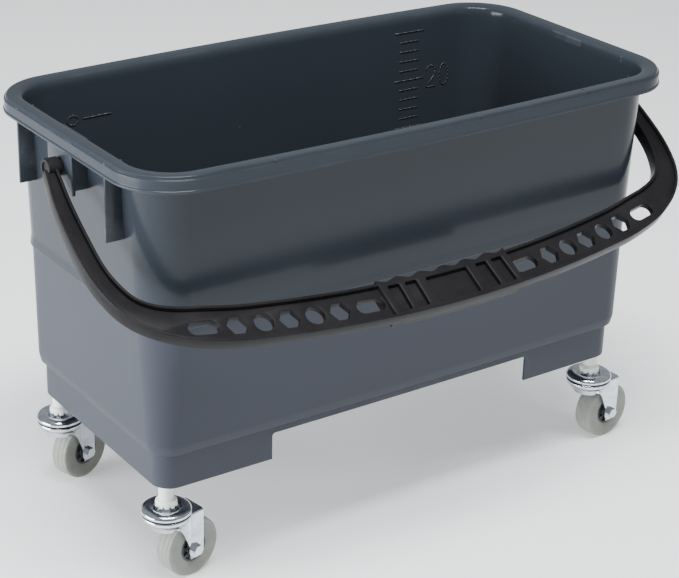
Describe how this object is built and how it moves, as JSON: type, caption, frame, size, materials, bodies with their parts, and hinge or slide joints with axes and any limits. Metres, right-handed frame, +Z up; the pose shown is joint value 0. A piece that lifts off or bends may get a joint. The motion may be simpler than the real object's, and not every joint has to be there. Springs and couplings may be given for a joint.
{
  "type": "wheeled wash bucket",
  "caption": "Rectangular plastic wash bucket with a rolled rim, a folding openwork bail handle and swivel castors under its corners.",
  "frame": {"origin": "on the floor, under the middle of the bounding box at rest, with the handle folded down to the front", "axes": "+X along the length, towards the right end; +Y towards the back, away from the folded handle; +Z up"},
  "size_m": [0.5684, 0.3172, 0.3565],
  "materials": {
    "tub_plastic": "satin",
    "handle_plastic": "satin",
    "sleeve_plastic": "satin",
    "zinc_steel": "bright zinc",
    "ball_steel": "polished",
    "hub_plastic": "matte",
    "tyre_rubber": "matte"
  },
  "bodies": {
    "root": {"tub": "tub_plastic", "stem_sleeve_front_left": "sleeve_plastic", "stem_front_left": "zinc_steel", "upper_cup_front_left": "zinc_steel", "upper_balls_front_left": "ball_steel", "lower_washer_front_left": "zinc_steel", "stem_sleeve_front_right": "sleeve_plastic", "stem_front_right": "zinc_steel", "upper_cup_front_right": "zinc_steel", "upper_balls_front_right": "ball_steel", "lower_washer_front_right": "zinc_steel", "stem_sleeve_rear_left": "sleeve_plastic", "stem_rear_left": "zinc_steel", "upper_cup_rear_left": "zinc_steel", "upper_balls_rear_left": "ball_steel", "lower_washer_rear_left": "zinc_steel", "stem_sleeve_rear_right": "sleeve_plastic", "stem_rear_right": "zinc_steel", "upper_cup_rear_right": "zinc_steel", "upper_balls_rear_right": "ball_steel", "lower_washer_rear_right": "zinc_steel"},
    "bail": {"bail_handle": "handle_plastic"},
    "castor_front_left": {"fork_front_left": "zinc_steel", "axle_bolt_front_left": "zinc_steel", "axle_nut_front_left": "zinc_steel", "axle_bush_front_left": "zinc_steel"},
    "wheel_front_left": {"wheel_hub_front_left": "hub_plastic", "tyre_front_left": "tyre_rubber"},
    "castor_front_right": {"fork_front_right": "zinc_steel", "axle_bolt_front_right": "zinc_steel", "axle_nut_front_right": "zinc_steel", "axle_bush_front_right": "zinc_steel"},
    "wheel_front_right": {"wheel_hub_front_right": "hub_plastic", "tyre_front_right": "tyre_rubber"},
    "castor_rear_left": {"fork_rear_left": "zinc_steel", "axle_bolt_rear_left": "zinc_steel", "axle_nut_rear_left": "zinc_steel", "axle_bush_rear_left": "zinc_steel"},
    "wheel_rear_left": {"wheel_hub_rear_left": "hub_plastic", "tyre_rear_left": "tyre_rubber"},
    "castor_rear_right": {"fork_rear_right": "zinc_steel", "axle_bolt_rear_right": "zinc_steel", "axle_nut_rear_right": "zinc_steel", "axle_bush_rear_right": "zinc_steel"},
    "wheel_rear_right": {"wheel_hub_rear_right": "hub_plastic", "tyre_rear_right": "tyre_rubber"}
  },
  "joints": [
    {"name": "bail_swing", "type": "hinge", "parent": "root", "child": "bail", "pos_m": [0, 0.02261, 0.3295], "axis": [-1, 0, 0], "range_deg": [0, 241]},
    {"name": "swivel_front_left", "type": "hinge", "parent": "root", "child": "castor_front_left", "pos_m": [-0.2195, -0.06739, 0.0605], "axis": [0, 0, 1], "continuous": true},
    {"name": "roll_front_left", "type": "hinge", "parent": "castor_front_left", "child": "wheel_front_left", "pos_m": [-0.19902, -0.06377, 0.0255], "axis": [-0.1736, 0.9848, 0], "continuous": true},
    {"name": "swivel_front_right", "type": "hinge", "parent": "root", "child": "castor_front_right", "pos_m": [0.2195, -0.06739, 0.0605], "axis": [0, 0, 1], "continuous": true},
    {"name": "roll_front_right", "type": "hinge", "parent": "castor_front_right", "child": "wheel_front_right", "pos_m": [0.24022, -0.06557, 0.0255], "axis": [-0.0872, 0.9962, 0], "continuous": true},
    {"name": "swivel_rear_left", "type": "hinge", "parent": "root", "child": "castor_rear_left", "pos_m": [-0.2195, 0.11261, 0.0605], "axis": [0, 0, 1], "continuous": true},
    {"name": "roll_rear_left", "type": "hinge", "parent": "castor_rear_left", "child": "wheel_rear_left", "pos_m": [-0.19972, 0.11904, 0.0255], "axis": [-0.309, 0.9511, 0], "continuous": true},
    {"name": "swivel_rear_right", "type": "hinge", "parent": "root", "child": "castor_rear_right", "pos_m": [0.2195, 0.11261, 0.0605], "axis": [0, 0, 1], "continuous": true},
    {"name": "roll_rear_right", "type": "hinge", "parent": "castor_rear_right", "child": "wheel_rear_right", "pos_m": [0.23985, 0.11694, 0.0255], "axis": [-0.2079, 0.9781, 0], "continuous": true}
  ]
}
